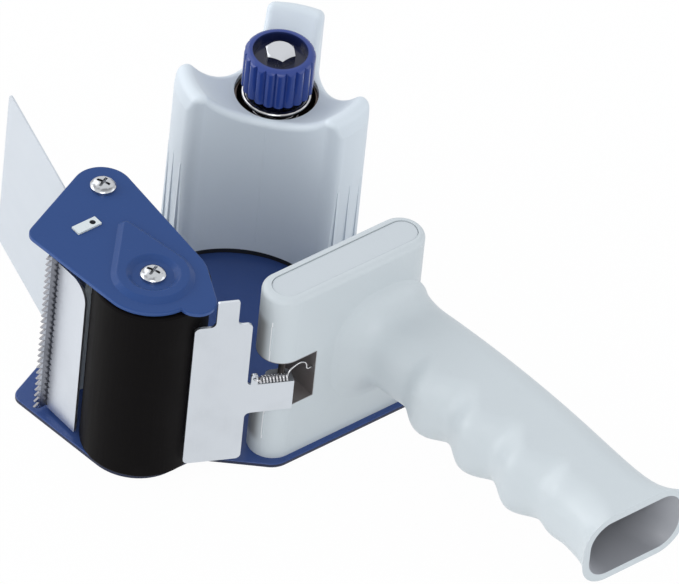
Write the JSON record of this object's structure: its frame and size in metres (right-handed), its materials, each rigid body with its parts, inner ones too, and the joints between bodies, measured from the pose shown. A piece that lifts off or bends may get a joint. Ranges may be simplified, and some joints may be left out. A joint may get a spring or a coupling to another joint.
{
  "type": "tape dispenser",
  "caption": "Hand-held carton-sealing tape dispenser with a lobed core hub, brake knob, tape roller, toothed cutter, wiper flap and pistol grip",
  "frame": {"origin": "On the hub axis at the underside of the side plate, the face that the dispenser lies on.", "axes": "+Z along the hub spindle, out of the side plate; +Y from the handle towards the hub; the cutting head lies towards -X."},
  "size_m": [0.1634, 0.2747, 0.0859],
  "materials": {
    "blue_paint": "semi-gloss blue enamel on pressed steel",
    "plated_steel": "bright plated steel",
    "spring_steel": "bright spring wire",
    "dark_steel": "black oxide steel",
    "blade_steel": "ground steel",
    "black_rubber": "smooth black rubber",
    "dark_plastic": "moulded black plastic",
    "grey_plastic": "satin moulded light grey plastic",
    "pale_plastic": "moulded off-white plastic",
    "clear_sheet": "translucent white plastic sheet",
    "blue_plastic": "glossy blue moulded plastic",
    "bearing_brass": "plain sintered bearing"
  },
  "bodies": {
    "frame": {"side_plate": "blue_paint", "head_plate": "blue_paint", "countersunk_screws": "plated_steel", "pan_screws": "plated_steel", "tie_post": "plated_steel", "roller_shaft": "plated_steel", "blade_holder": "pale_plastic", "cutter_blade": "blade_steel", "tape_rest": "plated_steel", "blade_rivets": "plated_steel", "retainer_pin": "plated_steel", "retainer_spring": "spring_steel", "handle": "grey_plastic", "handle_cap": "grey_plastic", "hub_spindle": "plated_steel", "brake_washer": "black_rubber", "tension_spring": "spring_steel"},
    "hub": {"tape_hub": "grey_plastic", "hub_bush": "bearing_brass", "spring_cup": "dark_steel"},
    "roller": {"roller_sleeve": "black_rubber", "roller_core": "dark_plastic", "roller_bushings": "bearing_brass"},
    "thrust": {"thrust_washer": "plated_steel"},
    "knob": {"tension_knob": "blue_plastic", "tension_bolt": "plated_steel"},
    "retainer": {"retainer_plate": "plated_steel"},
    "wiper": {"wiper_flap": "clear_sheet"}
  },
  "joints": [
    {"name": "hub_spin", "type": "hinge", "parent": "frame", "child": "hub", "pos_m": [0, 0, 0], "axis": [0, 0, 1], "continuous": true},
    {"name": "roller_spin", "type": "hinge", "parent": "frame", "child": "roller", "pos_m": [-0.1066, -0.0647, 0], "axis": [0, 0, 1], "continuous": true},
    {"name": "knob_advance", "type": "slide", "parent": "frame", "child": "thrust", "axis": [0, 0, 1], "range_m": [-0.002, 0.001], "deforming": ["tension_spring"]},
    {"name": "knob_turn", "type": "hinge", "parent": "thrust", "child": "knob", "pos_m": [0, 0, 0], "axis": [0, 0, 1], "range_deg": [-721, 361]},
    {"name": "retainer_swing", "type": "hinge", "parent": "frame", "child": "retainer", "pos_m": [-0.0711, -0.0975, 0], "axis": [0, 0, 1], "range_deg": [0, 25], "stiffness_Nm_per_rad": 0.15, "springref_deg": -28.65, "deforming": ["retainer_spring"]},
    {"name": "wiper_flex", "type": "hinge", "parent": "frame", "child": "wiper", "pos_m": [-0.10807, -0.03135, 0], "axis": [0, 0, 1], "range_deg": [-15, 10], "stiffness_Nm_per_rad": 0.1}
  ],
  "couplings": [
    {"joint": "knob_turn", "follows": "knob_advance", "rad_per_m": 6283.2}
  ]
}
